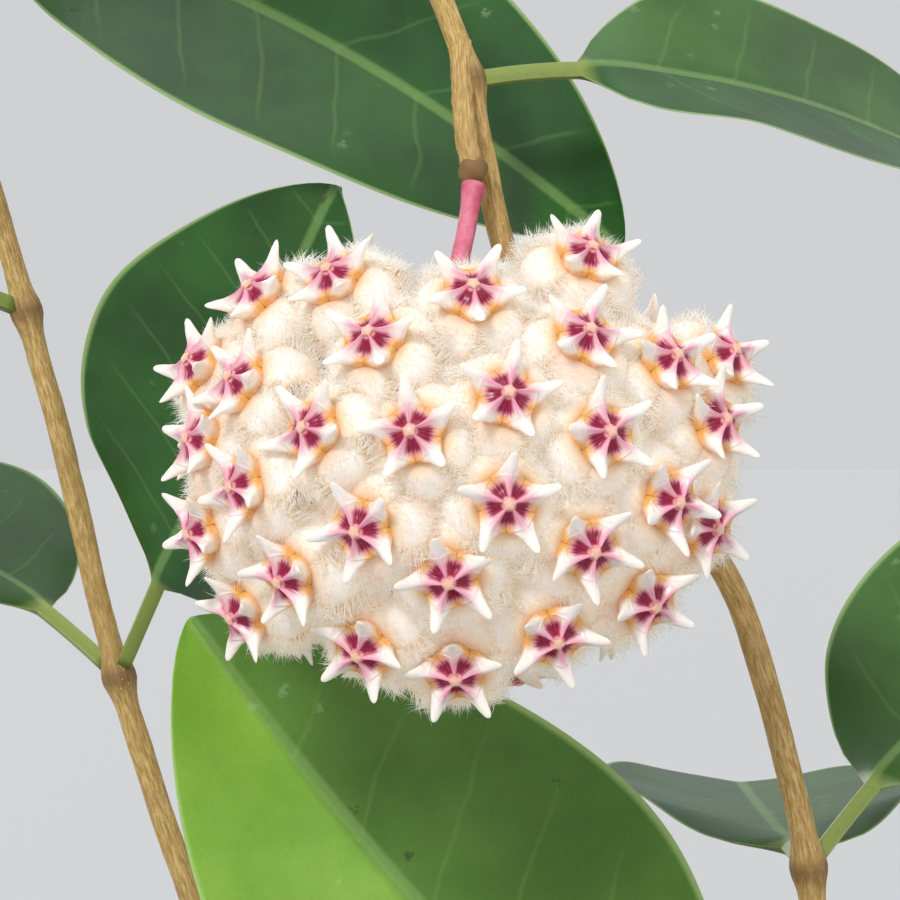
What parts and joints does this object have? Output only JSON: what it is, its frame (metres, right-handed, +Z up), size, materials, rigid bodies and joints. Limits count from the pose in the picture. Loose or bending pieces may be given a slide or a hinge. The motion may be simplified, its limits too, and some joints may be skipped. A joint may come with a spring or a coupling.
{
  "type": "potted hoya plant",
  "caption": "Climbing wax-flower houseplant in a plain clay pot, with thick oval leaves and one round hanging head of fringed, star-centred cream flowers.",
  "frame": {"origin": "middle of the flat foot of the pot", "axes": "+Z up, the flower head faces -Y, +X to the right of someone who looks at the flowers"},
  "size_m": [0.2465, 0.1466, 0.2908],
  "materials": {
    "clay": "unglazed fired clay, matt, slightly chalky",
    "soil": "crumbly potting mix of bark and peat",
    "bark": "tan woody stem with fine lengthwise cracks",
    "peduncle": "smooth pink flower stalk, satin",
    "corolla": "velvety cream petals shading to peach, with silky white hairs",
    "corona": "waxy and glossy, white tips, crimson between the lobes, yellow underneath",
    "leaf": "thick waxy green leaf with a pale edge and faint veins"
  },
  "bodies": {
    "root": {"pot": "clay", "soil": "soil", "stem_main": "bark", "stem_side": "bark", "peduncle": "peduncle", "umbel": "corolla", "corona_01": "corona", "corona_02": "corona", "corona_03": "corona", "corona_04": "corona", "corona_05": "corona", "corona_06": "corona", "corona_07": "corona", "corona_08": "corona", "corona_09": "corona", "corona_10": "corona", "corona_11": "corona", "corona_12": "corona", "corona_13": "corona", "corona_14": "corona", "corona_15": "corona", "corona_16": "corona", "corona_17": "corona", "corona_18": "corona", "corona_19": "corona", "corona_20": "corona", "corona_21": "corona", "corona_22": "corona", "corona_23": "corona", "corona_24": "corona", "corona_25": "corona", "corona_26": "corona", "corona_27": "corona", "corona_28": "corona", "corona_29": "corona", "corona_30": "corona", "corona_31": "corona", "corona_32": "corona", "corona_33": "corona", "corona_34": "corona", "corona_35": "corona", "corona_36": "corona", "corona_37": "corona", "corona_38": "corona", "corona_39": "corona", "corona_40": "corona", "corona_41": "corona", "corona_42": "corona", "leaf_01": "leaf", "leaf_02": "leaf", "leaf_03": "leaf", "leaf_04": "leaf", "leaf_05": "leaf", "leaf_06": "leaf", "leaf_07": "leaf", "leaf_08": "leaf", "leaf_09": "leaf", "leaf_10": "leaf", "leaf_11": "leaf", "leaf_12": "leaf"}
  },
  "joints": []
}
